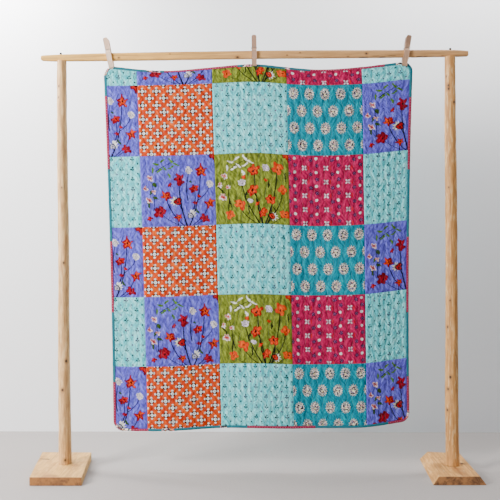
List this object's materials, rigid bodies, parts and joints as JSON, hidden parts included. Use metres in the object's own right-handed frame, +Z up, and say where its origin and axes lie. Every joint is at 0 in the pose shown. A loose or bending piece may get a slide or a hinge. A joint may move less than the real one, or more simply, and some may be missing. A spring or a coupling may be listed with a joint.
{
  "type": "quilted throw on a wooden hanging rack",
  "caption": "Patchwork quilted throw with a bound edge, hanging flat by spring pegs from the bar of a plain pole rack on board feet.",
  "frame": {"origin": "on the floor, at the middle of the rack's box", "axes": "+Z up, +X along the crossbar to the right as seen from the front, and the throw's face looks towards -Y"},
  "size_m": [1.862, 0.332, 1.8206],
  "materials": {
    "quilt_cotton": "matt printed cotton patchwork",
    "binding_cotton": "matt printed cotton strip",
    "pine": "peeled and planed, unvarnished",
    "peg_wood": "bare pale wood",
    "spring_steel": "drawn wire",
    "black_screw": "blackened"
  },
  "bodies": {
    "root": {"quilted_throw": "quilt_cotton", "binding": "binding_cotton", "pole_left": "pine", "pole_right": "pine", "crossbar": "pine", "foot_left": "pine", "foot_right": "pine", "screw_left": "black_screw", "screw_right": "black_screw", "peg_left_front": "peg_wood", "peg_left_back": "peg_wood", "peg_middle_front": "peg_wood", "peg_middle_back": "peg_wood", "peg_right_front": "peg_wood", "peg_right_back": "peg_wood", "peg_left_spring": "spring_steel", "peg_middle_spring": "spring_steel", "peg_right_spring": "spring_steel"}
  },
  "joints": []
}
